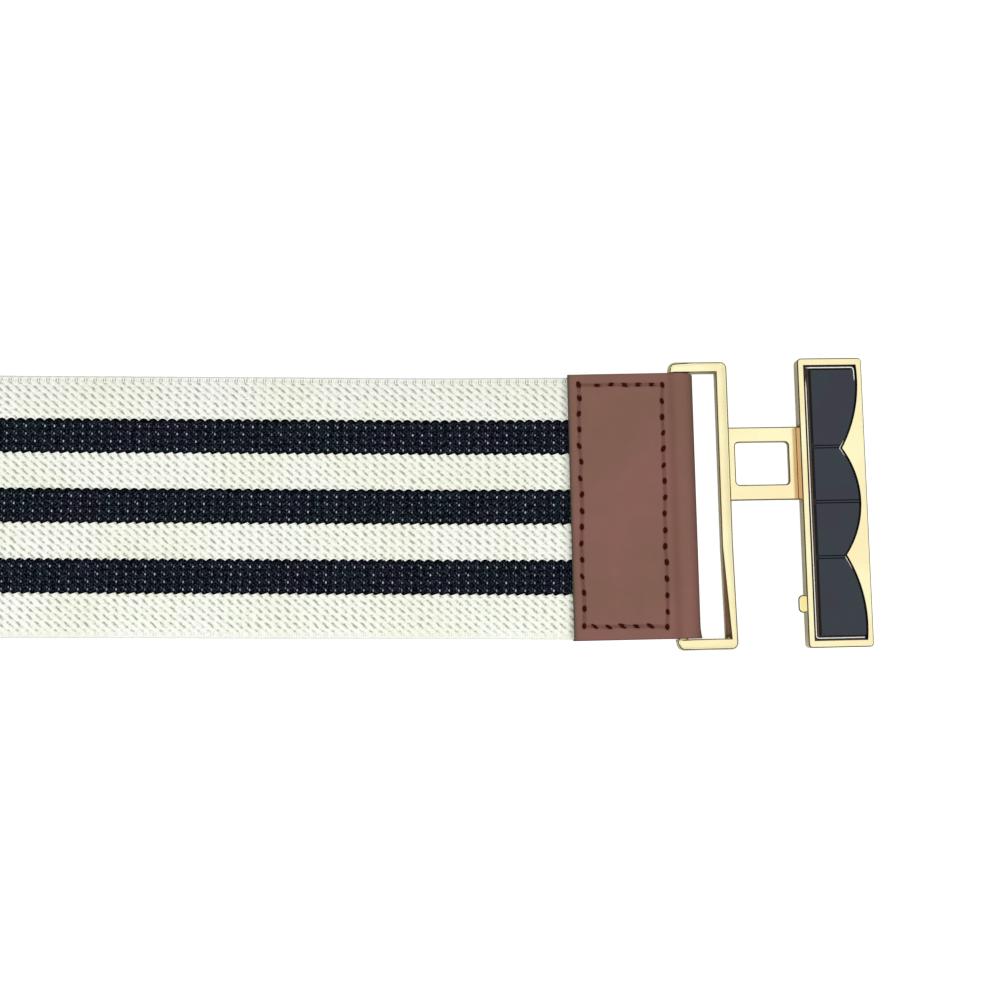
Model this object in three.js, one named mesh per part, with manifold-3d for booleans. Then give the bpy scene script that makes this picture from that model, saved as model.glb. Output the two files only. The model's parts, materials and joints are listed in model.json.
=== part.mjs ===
// Wide elastic waist belt, lying flat with its front up, in millimetres.
// The belt runs along X, its width is along Y, and it rests on Z = 0.
// Each end has a folded leather tab that holds one half of an interlocking cast clasp.
// The two halves are the same casting, so the left end is the right end turned half round.

import * as THREE from 'three';
import { mergeVertices } from 'three/addons/utils/BufferGeometryUtils.js';
import Module from 'manifold-3d';

const wasm = await Module();
wasm.setup();

// Whole belt
const TIP_TO_TIP = 841;
const END_SKEW = THREE.MathUtils.degToRad(1.45);

// Woven elastic
const WEB_WIDTH = 56.8;
const WEB_THICKNESS = 1.8;
const STRIPE_WIDTH = 7.3;
const STRIPE_PITCH = 15.1;
const STRIPE_RISE = 0.2;
const WEB_RAMP_LENGTH = 30;
const WEB_RAMP_STEPS = 10;
const WEB_RAMP_TO_TAB = 2;
const WEB_END_TO_AXIS = 2.6;
const WEB_JOIN_GAP = 0.05;

// Leather end tab
const LEATHER = 1.2;
const TAB_WIDTH = 57.2;
const TAB_REACH_INWARD = 23.3;
const TAB_INNER_GAP = 2.6;
const FOLD_INNER_RADIUS = 1.5;
const FOLD_CENTRE_X = 1.2;
const SEAM_X = -3.0;
const SEAM_DIP = 0.2;
const SEAM_DIP_HALF_WIDTH = 2.0;

// Clasp half, measured from the axis of its strap bar
const STRAP_BAR_RADIUS = 1.2;
const LOOP_LEFT = -1.3;
const LOOP_RIGHT = 11.5;
const LOOP_HALF_HEIGHT = 31.15;
const LOOP_END_RAIL = 2.4;
const LOOP_SIDE_RAIL = 2.55;
const LOOP_HALF_THICKNESS = 1.3;
const LOOP_CORNER = 1.5;
const PLATE_LEFT = 26.35;
const PLATE_WIDTH = 14.05;
const PLATE_HALF_HEIGHT = 31.15;
const PLATE_BOTTOM = 0.4;
const PLATE_TOP = 3.4;
const PLATE_CORNER = 0.8;
const BRIDGE_LOW = 0.85;
const BRIDGE_HIGH = 16.75;
const BRIDGE_TOP = 0.1;
const BRIDGE_FOOT_RIGHT = 38;
const WINDOW_LEFT = 12.85;
const WINDOW_RIGHT = 24.5;
const WINDOW_LOW = 4.2;
const WINDOW_HIGH = 13.45;
const WINDOW_CORNER = 0.8;
const LUG_LEFT = 25.2;
const LUG_RIGHT = 30;
const LUG_LOW = -23.6;
const LUG_HIGH = -19.85;
const LUG_CORNER = 1.0;
const WELD = 0.3;

// Recess in the plate: straight on the left, three arcs that meet in two cusps on the right
const RECESS_DEPTH = 1.4;
const RECESS_LEFT_BORDER = 1.25;
const RECESS_END_BORDER = 1.45;
const MIDDLE_ARC_CREST = 12.7;
const END_ARC_CREST = 13.0;
const END_ARC_CENTRE_Y = 26.3;
const CUSP_U = 9.05;
const CUSP_Y = 11.5;

// Enamel in the recess
const ENAMEL_GAP = 0.25;
const ENAMEL_BELOW_RIM = 0.25;
const PARTITION_WIDTH = 0.55;
const PARTITION_DEPTH = 0.2;
const PARTITIONS_Y = [-CUSP_Y, 0, CUSP_Y];

const ARC_SEGMENTS = 12;
const SAME_POINT = 1e-4;

// Places worked out from the sizes above
const PLATE_RIGHT = PLATE_LEFT + PLATE_WIDTH;
const AXIS_HEIGHT = LEATHER + FOLD_INNER_RADIUS;
const AXIS_X = TIP_TO_TIP / 2 - PLATE_RIGHT;
const TAB_INNER_X = AXIS_X - TAB_REACH_INWARD;
const WEB_LIFT = LEATHER + (TAB_INNER_GAP - WEB_THICKNESS - STRIPE_RISE) / 2;
const WEB_RAMP_START = TAB_INNER_X - WEB_RAMP_TO_TAB - WEB_RAMP_LENGTH;
const WEB_END_X = AXIS_X - WEB_END_TO_AXIS;

// At rest the clasp hangs down from its strap bar until the bridge's far foot touches the ground.
const DROOP =
  Math.asin(AXIS_HEIGHT / Math.hypot(BRIDGE_FOOT_RIGHT, LOOP_HALF_THICKNESS)) -
  Math.atan2(LOOP_HALF_THICKNESS, BRIDGE_FOOT_RIGHT);

const CREAM = new THREE.MeshStandardMaterial({ color: 0xe6e9db, roughness: 0.9 });
const BROWN = new THREE.MeshStandardMaterial({ color: 0x846257, roughness: 0.7 });
const GOLD = new THREE.MeshStandardMaterial({ color: 0xf1dfa9, roughness: 0.2, metalness: 1 });
const SLATE = new THREE.MeshStandardMaterial({ color: 0x3b4049, roughness: 0.25 });

// Joining and cutting

function toSolid(geometry) {
  const bare = geometry.clone();
  bare.deleteAttribute('normal');
  bare.deleteAttribute('uv');
  const merged = mergeVertices(bare, 1e-5);
  const vertProperties = new Float32Array(merged.attributes.position.array);
  const triVerts = new Uint32Array(merged.index.array);
  return new wasm.Manifold(new wasm.Mesh({ numProp: 3, vertProperties, triVerts }));
}

function toGeometry(solid) {
  const mesh = solid.getMesh();
  const geometry = new THREE.BufferGeometry();
  geometry.setAttribute('position', new THREE.BufferAttribute(mesh.vertProperties, 3));
  geometry.setIndex(new THREE.BufferAttribute(mesh.triVerts, 1));
  return geometry;
}

// Outlines

// The same outline as points, with one point where two stretches meet
function withoutDoubles(path, curveSegments) {
  const points = path.getPoints(curveSegments);
  return points.filter((point, index) => {
    const next = points[(index + 1) % points.length];
    return point.distanceTo(next) > SAME_POINT;
  });
}

function cleanShape(shape, curveSegments) {
  const clean = new THREE.Shape(withoutDoubles(shape, curveSegments));
  clean.holes = shape.holes.map((hole) => new THREE.Path(withoutDoubles(hole, curveSegments)));
  return clean;
}

function roundedRectangle(left, right, low, high, radius, Path = THREE.Shape) {
  const path = new Path();
  path.moveTo(left, low + radius);
  path.absarc(left + radius, low + radius, radius, Math.PI, 1.5 * Math.PI, false);
  path.absarc(right - radius, low + radius, radius, 1.5 * Math.PI, 2 * Math.PI, false);
  path.absarc(right - radius, high - radius, radius, 0, 0.5 * Math.PI, false);
  path.absarc(left + radius, high - radius, radius, 0.5 * Math.PI, Math.PI, false);
  path.closePath();
  return path;
}

function upright(shape, low, high, curveSegments = 5) {
  const geometry = new THREE.ExtrudeGeometry(cleanShape(shape, curveSegments), {
    depth: high - low,
    bevelEnabled: false,
  });
  geometry.translate(0, 0, low);
  return geometry;
}

function acrossBelt(shape, width, centreY = 0) {
  const geometry = new THREE.ExtrudeGeometry(cleanShape(shape, ARC_SEGMENTS), {
    depth: width,
    bevelEnabled: false,
  });
  geometry.rotateX(Math.PI / 2);
  geometry.translate(0, centreY + width / 2, 0);
  return geometry;
}

// Webbing: one band with three raised stripes, modelled as a flat run and two rising ends

function webbingLift(x) {
  const t = THREE.MathUtils.clamp((x - WEB_RAMP_START) / WEB_RAMP_LENGTH, 0, 1);
  return WEB_LIFT * t * t * (3 - 2 * t);
}

function rampStations() {
  const stations = [];
  for (let step = 0; step <= WEB_RAMP_STEPS; step += 1) {
    stations.push(WEB_RAMP_START + (WEB_RAMP_LENGTH * step) / WEB_RAMP_STEPS);
  }
  return [...stations, WEB_END_X];
}

function bandOutline(stations, thickness) {
  const bottom = stations.map((x) => new THREE.Vector2(x, webbingLift(x)));
  const top = stations.map((x) => new THREE.Vector2(x, webbingLift(x) + thickness)).reverse();
  return new THREE.Shape([...bottom, ...top]);
}

function makeBand(stations) {
  let solid = toSolid(acrossBelt(bandOutline(stations, WEB_THICKNESS), WEB_WIDTH));
  for (const stripe of [-1, 0, 1]) {
    const outline = bandOutline(stations, WEB_THICKNESS + STRIPE_RISE);
    solid = solid.add(toSolid(acrossBelt(outline, STRIPE_WIDTH, stripe * STRIPE_PITCH)));
  }
  return toGeometry(solid);
}

// Inside the tab the webbing leans with it, so that it stays between the tab's edges.
function leanWithTab(geometry) {
  const position = geometry.attributes.position;
  for (let i = 0; i < position.count; i += 1) {
    const inside = Math.max(position.getX(i) - TAB_INNER_X, 0);
    position.setY(i, position.getY(i) + inside * Math.tan(END_SKEW));
  }
  return geometry;
}

// Leather tab: its side outline is one strap of leather folded round the strap bar

function tabSideOutline() {
  const inner = -TAB_REACH_INWARD;
  const topInside = LEATHER + TAB_INNER_GAP;
  const topOutside = topInside + LEATHER;
  const foldOutside = FOLD_INNER_RADIUS + LEATHER;
  const outline = new THREE.Shape();
  outline.moveTo(inner, 0);
  outline.lineTo(FOLD_CENTRE_X, 0);
  outline.absarc(FOLD_CENTRE_X, AXIS_HEIGHT, foldOutside, -Math.PI / 2, Math.PI / 2, false);
  outline.quadraticCurveTo(
    SEAM_X + SEAM_DIP_HALF_WIDTH, AXIS_HEIGHT + foldOutside,
    SEAM_X, topOutside - SEAM_DIP,
  );
  outline.lineTo(SEAM_X - SEAM_DIP_HALF_WIDTH, topOutside);
  outline.lineTo(inner, topOutside);
  outline.lineTo(inner, topInside);
  outline.lineTo(SEAM_X, topInside);
  outline.lineTo(FOLD_CENTRE_X, AXIS_HEIGHT + FOLD_INNER_RADIUS);
  outline.absarc(FOLD_CENTRE_X, AXIS_HEIGHT, FOLD_INNER_RADIUS, Math.PI / 2, -Math.PI / 2, true);
  outline.lineTo(inner, LEATHER);
  outline.closePath();
  return outline;
}

function makeTab() {
  const geometry = acrossBelt(tabSideOutline(), TAB_WIDTH);
  geometry.translate(TAB_REACH_INWARD, 0, 0);
  return geometry;
}

// Clasp half: loop, bridge with a window, plate with a recess, and lug, in one casting

function loopOutline() {
  const inside = LOOP_HALF_HEIGHT - LOOP_END_RAIL;
  const corner = LOOP_CORNER;
  const outline = new THREE.Shape();
  outline.moveTo(LOOP_RIGHT - LOOP_SIDE_RAIL, -inside);
  outline.lineTo(LOOP_LEFT, -inside);
  outline.absarc(LOOP_LEFT + corner, corner - LOOP_HALF_HEIGHT, corner, Math.PI, 1.5 * Math.PI, false);
  outline.absarc(LOOP_RIGHT - corner, corner - LOOP_HALF_HEIGHT, corner, 1.5 * Math.PI, 2 * Math.PI, false);
  outline.absarc(LOOP_RIGHT - corner, LOOP_HALF_HEIGHT - corner, corner, 0, 0.5 * Math.PI, false);
  outline.absarc(LOOP_LEFT + corner, LOOP_HALF_HEIGHT - corner, corner, 0.5 * Math.PI, Math.PI, false);
  outline.lineTo(LOOP_LEFT, inside);
  outline.lineTo(LOOP_RIGHT - LOOP_SIDE_RAIL, inside);
  outline.closePath();
  return outline;
}

function makeStrapBar() {
  const length = 2 * LOOP_HALF_HEIGHT - LOOP_END_RAIL;
  return new THREE.CylinderGeometry(STRAP_BAR_RADIUS, STRAP_BAR_RADIUS, length, 24);
}

function bridgeOutline() {
  const outline = new THREE.Shape([
    new THREE.Vector2(LOOP_RIGHT - LOOP_SIDE_RAIL / 2, BRIDGE_LOW),
    new THREE.Vector2(BRIDGE_FOOT_RIGHT, BRIDGE_LOW),
    new THREE.Vector2(BRIDGE_FOOT_RIGHT, BRIDGE_HIGH),
    new THREE.Vector2(LOOP_RIGHT - LOOP_SIDE_RAIL / 2, BRIDGE_HIGH),
  ]);
  outline.holes.push(
    roundedRectangle(WINDOW_LEFT, WINDOW_RIGHT, WINDOW_LOW, WINDOW_HIGH, WINDOW_CORNER, THREE.Path),
  );
  return outline;
}

function bridgeFoot() {
  const width = BRIDGE_FOOT_RIGHT - PLATE_LEFT - WELD;
  const height = PLATE_BOTTOM + WELD + LOOP_HALF_THICKNESS;
  const foot = new THREE.BoxGeometry(width, BRIDGE_HIGH - BRIDGE_LOW, height);
  foot.translate(
    BRIDGE_FOOT_RIGHT - width / 2,
    (BRIDGE_LOW + BRIDGE_HIGH) / 2,
    height / 2 - LOOP_HALF_THICKNESS,
  );
  return foot;
}

function circlesMeet(x1, y1, r1, x2, y2, r2) {
  const apart = Math.hypot(x2 - x1, y2 - y1);
  const along = (apart * apart + r1 * r1 - r2 * r2) / (2 * apart);
  const aside = Math.sqrt(r1 * r1 - along * along);
  const ux = (x2 - x1) / apart;
  const uy = (y2 - y1) / apart;
  return new THREE.Vector2(x1 + ux * along + uy * aside, y1 + uy * along - ux * aside);
}

function arcRadius(halfChord, rise) {
  return (halfChord * halfChord + rise * rise) / (2 * rise);
}

// The recess outline, or one inset inside it, in the plate's own u (from its left edge) and y
function scallopedOutline(inset) {
  const middleRadius = arcRadius(CUSP_Y, MIDDLE_ARC_CREST - CUSP_U);
  const endRadius = arcRadius(END_ARC_CENTRE_Y - CUSP_Y, END_ARC_CREST - CUSP_U);
  const middleX = PLATE_LEFT + MIDDLE_ARC_CREST - middleRadius;
  const endX = PLATE_LEFT + END_ARC_CREST - endRadius;
  const middle = middleRadius - inset;
  const end = endRadius - inset;
  const left = PLATE_LEFT + RECESS_LEFT_BORDER + inset;
  const top = PLATE_HALF_HEIGHT - RECESS_END_BORDER - inset;
  const cusp = circlesMeet(middleX, 0, middle, endX, END_ARC_CENTRE_Y, end);
  const atTop = Math.asin((top - END_ARC_CENTRE_Y) / end);
  const atCusp = Math.asin((cusp.y - END_ARC_CENTRE_Y) / end);
  const middleAtCusp = Math.asin(cusp.y / middle);
  const outline = new THREE.Shape();
  outline.moveTo(left, top);
  outline.lineTo(left, -top);
  outline.absarc(endX, -END_ARC_CENTRE_Y, end, -atTop, -atCusp, false);
  outline.absarc(middleX, 0, middle, -middleAtCusp, middleAtCusp, false);
  outline.absarc(endX, END_ARC_CENTRE_Y, end, atCusp, atTop, false);
  outline.closePath();
  return outline;
}

function makePlate() {
  const outline = roundedRectangle(
    PLATE_LEFT, PLATE_RIGHT, -PLATE_HALF_HEIGHT, PLATE_HALF_HEIGHT, PLATE_CORNER,
  );
  const plate = toSolid(upright(outline, PLATE_BOTTOM, PLATE_TOP));
  const floor = PLATE_TOP - RECESS_DEPTH;
  return plate.subtract(toSolid(upright(scallopedOutline(0), floor, PLATE_TOP + 1, ARC_SEGMENTS)));
}

function makeFrame() {
  const lug = roundedRectangle(LUG_LEFT, LUG_RIGHT, LUG_LOW, LUG_HIGH, LUG_CORNER);
  const solid = makePlate()
    .add(toSolid(upright(loopOutline(), -LOOP_HALF_THICKNESS, LOOP_HALF_THICKNESS)))
    .add(toSolid(makeStrapBar()))
    .add(toSolid(upright(bridgeOutline(), -LOOP_HALF_THICKNESS, BRIDGE_TOP)))
    .add(toSolid(bridgeFoot()))
    .add(toSolid(upright(lug, -LOOP_HALF_THICKNESS, PLATE_BOTTOM + WELD)));
  return toGeometry(solid);
}

// Enamel: fills the recess, crossed by three fine partition lines

function makeEnamel() {
  const bottom = PLATE_TOP - RECESS_DEPTH + ENAMEL_GAP;
  const top = PLATE_TOP - ENAMEL_BELOW_RIM;
  let solid = toSolid(upright(scallopedOutline(ENAMEL_GAP), bottom, top, ARC_SEGMENTS));
  for (const y of PARTITIONS_Y) {
    const groove = new THREE.BoxGeometry(PLATE_WIDTH, PARTITION_WIDTH, 2 * PARTITION_DEPTH);
    groove.translate(PLATE_LEFT + PLATE_WIDTH / 2, y, top);
    solid = solid.subtract(toSolid(groove));
  }
  return toGeometry(solid);
}

// One end of the belt: the webbing rises into the tab, the tab is sewn on slightly askew,
// and the clasp half droops from it

function makeEnd(side, turn, geometries) {
  const end = new THREE.Group();
  end.rotation.z = turn;

  const webbingEnd = new THREE.Mesh(geometries.webbingEnd, CREAM);
  webbingEnd.name = `webbing_end_${side}`;
  end.add(webbingEnd);

  const askew = new THREE.Group();
  askew.position.x = TAB_INNER_X;
  askew.rotation.z = END_SKEW;
  end.add(askew);

  const tab = new THREE.Mesh(geometries.tab, BROWN);
  tab.name = `leather_tab_${side}`;
  askew.add(tab);

  const clasp = new THREE.Group();
  clasp.position.set(TAB_REACH_INWARD, 0, AXIS_HEIGHT);
  clasp.rotation.y = DROOP;
  askew.add(clasp);

  const frame = new THREE.Mesh(geometries.frame, GOLD);
  frame.name = `buckle_frame_${side}`;
  clasp.add(frame);

  const enamel = new THREE.Mesh(geometries.enamel, SLATE);
  enamel.name = `enamel_inlay_${side}`;
  clasp.add(enamel);
  return end;
}

const belt = new THREE.Group();

const flatRun = WEB_RAMP_START - WEB_JOIN_GAP;
const webbing = new THREE.Mesh(makeBand([-flatRun, flatRun]), CREAM);
webbing.name = 'webbing';
belt.add(webbing);

const endGeometries = {
  webbingEnd: leanWithTab(makeBand(rampStations())),
  tab: makeTab(),
  frame: makeFrame(),
  enamel: makeEnamel(),
};
belt.add(makeEnd('right', 0, endGeometries));
belt.add(makeEnd('left', Math.PI, endGeometries));

export default belt;
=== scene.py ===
import json
import math

import bmesh
import bpy
import numpy as np
from mathutils import Matrix, Vector


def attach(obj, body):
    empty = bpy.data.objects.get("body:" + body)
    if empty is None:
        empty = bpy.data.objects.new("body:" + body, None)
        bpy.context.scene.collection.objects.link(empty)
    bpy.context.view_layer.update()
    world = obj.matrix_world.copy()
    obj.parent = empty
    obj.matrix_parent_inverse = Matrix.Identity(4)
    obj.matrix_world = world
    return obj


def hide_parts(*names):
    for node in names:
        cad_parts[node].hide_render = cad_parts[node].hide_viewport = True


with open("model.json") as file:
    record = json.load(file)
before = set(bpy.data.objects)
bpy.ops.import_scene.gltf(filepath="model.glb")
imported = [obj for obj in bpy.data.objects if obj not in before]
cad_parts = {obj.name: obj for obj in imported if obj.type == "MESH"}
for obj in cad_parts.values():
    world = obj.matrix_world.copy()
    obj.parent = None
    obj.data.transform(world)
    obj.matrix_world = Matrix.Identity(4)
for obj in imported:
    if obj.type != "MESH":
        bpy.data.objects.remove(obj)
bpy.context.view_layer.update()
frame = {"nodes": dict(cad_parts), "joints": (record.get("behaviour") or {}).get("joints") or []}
MM = 0.001

# The woven elastic
# One length of wide elastic, woven in cream yarn with three raised navy stripes, about 2 mm thick.
# It lies flat, and rises at each end to enter a leather tab, where the stitching holds it.
WEB_HALF_WIDTH = 28.4 * MM
WEB_THICKNESS = 1.8 * MM
WEB_LIFT = 1.5 * MM
WEB_RAMP = 30.0 * MM
WEB_RAMP_TO_TAB = 2.0 * MM
WEB_END_TO_AXIS = 2.6 * MM
TAB_REACH = 23.3 * MM
END_SKEW = math.radians(1.45)
CELL_LONG = 2.03 * MM
CELL_WIDE = 1.64 * MM
STRIPE_HALF = 3.92 * MM
STRIPE_PITCH = 15.1 * MM
STRIPE_RISE = 0.2 * MM
STRIPE_SINK = 0.3 * MM
SPECK_ROW = 0.5 * MM
SCALLOP_HIGH = 0.55 * MM
SCALLOP_LOW = 0.55 * MM
TOOTH_RISE, TOOTH_FALL = 0.82, 0.18
STRIPE_EDGE_ROUND = 0.5 * MM
WEAVE_INTO_TAB = 3.0 * MM
PILLOW = 0.12 * MM
SAMPLES_PER_CELL = 7
STRIPE_COLUMNS = 19

JOINTS = {joint["child"]: joint for joint in frame["joints"]}
AXIS = Vector(JOINTS["buckle_right"]["pos_m"])
TAB_INNER_X = AXIS.x - TAB_REACH * math.cos(END_SKEW)
RAMP_START = TAB_INNER_X - WEB_RAMP_TO_TAB - WEB_RAMP
WEB_END_X = TAB_INNER_X + TAB_REACH - WEB_END_TO_AXIS


def web_lift(x):
    t = np.clip((np.abs(x) - RAMP_START) / WEB_RAMP, 0, 1)
    return WEB_LIFT * t * t * (3 - 2 * t)


def web_lean(x):
    """How far the elastic is moved across by the tab, which is sewn on slightly askew."""
    return np.sign(x) * np.clip(np.abs(x) - TAB_INNER_X, 0, None) * math.tan(END_SKEW)


def mesh_object(name, points, faces, smooth=True):
    mesh = bpy.data.meshes.new(name)
    mesh.from_pydata([tuple(p) for p in points], [], [tuple(f) for f in faces])
    mesh.update()
    mesh.polygons.foreach_set("use_smooth", [smooth] * len(mesh.polygons))
    made = bpy.data.objects.new(name, mesh)
    bpy.context.scene.collection.objects.link(made)
    return made


def turn_faces_out(mesh):
    body = bmesh.new()
    body.from_mesh(mesh)
    bmesh.ops.recalc_face_normals(body, faces=body.faces)
    body.to_mesh(mesh)
    body.free()


def loft(name, rings):
    """A closed body through rings of equal length, with a flat face over each end ring."""
    rings = np.asarray(rings)
    count, size = rings.shape[:2]
    faces = []
    for i in range(count - 1):
        low, high = i * size, (i + 1) * size
        faces += [(low + k, low + (k + 1) % size, high + (k + 1) % size, high + k) for k in range(size)]
    faces.append(tuple(reversed(range(size))))
    faces.append(tuple(range((count - 1) * size, count * size)))
    made = mesh_object(name, rings.reshape(-1, 3), faces)
    turn_faces_out(made.data)
    return made


def ground_section():
    """Half of the elastic's section, from its middle outwards on top and back below: (y, z)."""
    edge, top = WEB_HALF_WIDTH - 0.2 * MM, WEB_THICKNESS
    groove = WEB_HALF_WIDTH - 1.0 * MM
    upper = [
        (groove - 0.25 * MM, top),
        (groove, top - 0.12 * MM),
        (groove + 0.25 * MM, top - 0.03 * MM),
        (edge - 0.30 * MM, top - 0.10 * MM),
        (edge - 0.08 * MM, top - 0.30 * MM),
        (edge, top - 0.65 * MM),
    ]
    stripes = [STRIPE_HALF, STRIPE_PITCH - STRIPE_HALF, STRIPE_PITCH + STRIPE_HALF]
    lower = [(y, top - z) for y, z in reversed(upper)]
    return [(y, top) for y in stripes] + upper + lower + [(y, 0.0) for y in reversed(stripes)]


def make_ground():
    half = ground_section()
    section = half + [(-y, z) for y, z in reversed(half)]
    ramp = np.linspace(RAMP_START, TAB_INNER_X + WEAVE_INTO_TAB, 26)
    ramp = np.append(ramp, WEB_END_X)
    flat = np.arange(-RAMP_START, RAMP_START, CELL_LONG)[1:]
    stations = np.concatenate([-ramp[::-1], flat, ramp])
    rings = []
    for x in stations:
        lift, lean = float(web_lift(x)), float(web_lean(x))
        rings.append([(x, y + lean, z + lift) for y, z in section])
    return loft("webbing_ground", rings)


def twill_phase(x, y):
    """0 to 1 across each diagonal rib of the weave, 0.5 on the dark line between two ribs."""
    return np.mod(x / CELL_LONG + y / CELL_WIDE, 1.0)


def make_stripe(name, centre):
    step = CELL_LONG / SAMPLES_PER_CELL
    reach = TAB_INNER_X + WEAVE_INTO_TAB
    x = np.arange(-reach, reach, step)
    after_line = np.mod(twill_phase(x, centre + STRIPE_HALF) + 0.5, 1.0)
    upper = STRIPE_HALF - SCALLOP_HIGH * (1 - np.clip(np.sin(np.pi * after_line), 0, 1) ** 0.8)
    after_line = np.mod(twill_phase(x, centre - STRIPE_HALF) + 0.5, 1.0)
    tooth = np.where(after_line < TOOTH_RISE, after_line / TOOTH_RISE, (1 - after_line) / TOOTH_FALL)
    lower = -STRIPE_HALF + SCALLOP_LOW * tooth
    lift, lean = web_lift(x), web_lean(x) + centre
    crown = WEB_THICKNESS + STRIPE_RISE
    columns = []
    for s in np.linspace(0, 1, STRIPE_COLUMNS):
        y = lower + (upper - lower) * s
        edge = np.minimum(np.minimum(s, 1 - s) * (upper - lower) / STRIPE_EDGE_ROUND, 1.0)
        round_off = STRIPE_RISE * (1 - np.sqrt(1 - (1 - edge) ** 2))
        cell = np.abs(np.sin(np.pi * x / CELL_LONG) * np.sin(np.pi * (y - SPECK_ROW) / CELL_WIDE)) ** 0.5
        z = crown + lift - round_off + PILLOW * (cell - 0.6) * edge
        columns.append(np.stack([x, y + lean, z], axis=1))
    floor = WEB_THICKNESS - STRIPE_SINK + lift
    columns.append(np.stack([x, upper + lean, floor], axis=1))
    columns.append(np.stack([x, lower + lean, floor], axis=1))
    return loft(name, np.stack(columns, axis=1))


webbing = make_ground()
stripes = [
    make_stripe(f"webbing_stripe_{place}", shift * STRIPE_PITCH)
    for place, shift in (("low", -1), ("middle", 0), ("high", 1))
]


def connect(tree, value, socket):
    if isinstance(value, bpy.types.NodeSocket):
        tree.links.new(value, socket)
    else:
        socket.default_value = value


def calc(tree, operation, a, b=0.0):
    made = tree.nodes.new("ShaderNodeMath")
    made.operation = operation
    connect(tree, a, made.inputs[0])
    connect(tree, b, made.inputs[1])
    return made.outputs[0]


def times(tree, *values):
    result = values[0]
    for value in values[1:]:
        result = calc(tree, "MULTIPLY", result, value)
    return result


def plus(tree, *values):
    result = values[0]
    for value in values[1:]:
        result = calc(tree, "ADD", result, value)
    return result


def off_whole(tree, value):
    """How far a value is from the nearest whole number."""
    shifted = calc(tree, "FRACT", calc(tree, "ADD", value, 0.5))
    return calc(tree, "ABSOLUTE", calc(tree, "SUBTRACT", shifted, 0.5))


def eased(tree, value, low, high):
    """0 to 1 as the value goes from low to high."""
    made = tree.nodes.new("ShaderNodeMapRange")
    made.interpolation_type = "SMOOTHSTEP"
    connect(tree, value, made.inputs["Value"])
    made.inputs["From Min"].default_value = low
    made.inputs["From Max"].default_value = high
    return made.outputs["Result"]


def mixed(tree, share, a, b):
    made = tree.nodes.new("ShaderNodeMix")
    made.data_type = "RGBA"
    connect(tree, share, made.inputs[0])
    connect(tree, a, made.inputs[6])
    connect(tree, b, made.inputs[7])
    return made.outputs[2]


def noise(tree, where, scale, detail):
    made = tree.nodes.new("ShaderNodeTexNoise")
    tree.links.new(where, made.inputs["Vector"])
    made.inputs["Scale"].default_value = scale
    made.inputs["Detail"].default_value = detail
    return made.outputs["Fac"]


def colour(red, green, blue):
    """A colour as seen on a screen, 0 to 255, made linear for a shader."""
    line = [c / 255 for c in (red, green, blue)]
    return tuple(c / 12.92 if c <= 0.04045 else ((c + 0.055) / 1.055) ** 2.4 for c in line) + (1.0,)


def coat(tree, shade, *coats):
    """Lays colours over a shade one after another, each as strongly as its share says."""
    for share, tint in coats:
        shade = mixed(tree, share, shade, colour(*tint))
    return shade


def new_material(name):
    material = bpy.data.materials.new(name)
    material.use_nodes = True
    tree = material.node_tree
    shader = tree.nodes["Principled BSDF"]
    where = tree.nodes.new("ShaderNodeTexCoord").outputs["Object"]
    return material, tree, shader, where


def add_bump(tree, shader, height, distance):
    bump = tree.nodes.new("ShaderNodeBump")
    tree.links.new(height, bump.inputs["Height"])
    bump.inputs["Distance"].default_value = distance
    tree.links.new(bump.outputs["Normal"], shader.inputs["Normal"])


def weave_count_group():
    """Counts the weave's cells along and across, and the place across the nearest stripe in metres."""
    group = bpy.data.node_groups.new("weave_count", "ShaderNodeTree")
    group.interface.new_socket("Place", in_out="INPUT", socket_type="NodeSocketVector")
    for name in ("Along", "Across", "From stripe", "From middle"):
        group.interface.new_socket(name, in_out="OUTPUT", socket_type="NodeSocketFloat")
    given = group.nodes.new("NodeGroupInput")
    result = group.nodes.new("NodeGroupOutput")
    place = group.nodes.new("ShaderNodeSeparateXYZ")
    group.links.new(given.outputs["Place"], place.inputs[0])
    x, y = place.outputs[0], place.outputs[1]
    nearest = calc(group, "ROUND", calc(group, "DIVIDE", y, STRIPE_PITCH))
    nearest = calc(group, "MAXIMUM", calc(group, "MINIMUM", nearest, 1.0), -1.0)
    group.links.new(calc(group, "DIVIDE", x, CELL_LONG), result.inputs["Along"])
    group.links.new(calc(group, "DIVIDE", y, CELL_WIDE), result.inputs["Across"])
    from_stripe = calc(group, "SUBTRACT", y, calc(group, "MULTIPLY", nearest, STRIPE_PITCH))
    group.links.new(from_stripe, result.inputs["From stripe"])
    group.links.new(calc(group, "ABSOLUTE", y), result.inputs["From middle"])
    return group


WEAVE_COUNT = weave_count_group()


def weave_count(tree, where):
    made = tree.nodes.new("ShaderNodeGroup")
    made.node_tree = WEAVE_COUNT
    tree.links.new(where, made.inputs["Place"])
    return [made.outputs[name] for name in ("Along", "Across", "From stripe", "From middle")]


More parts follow.
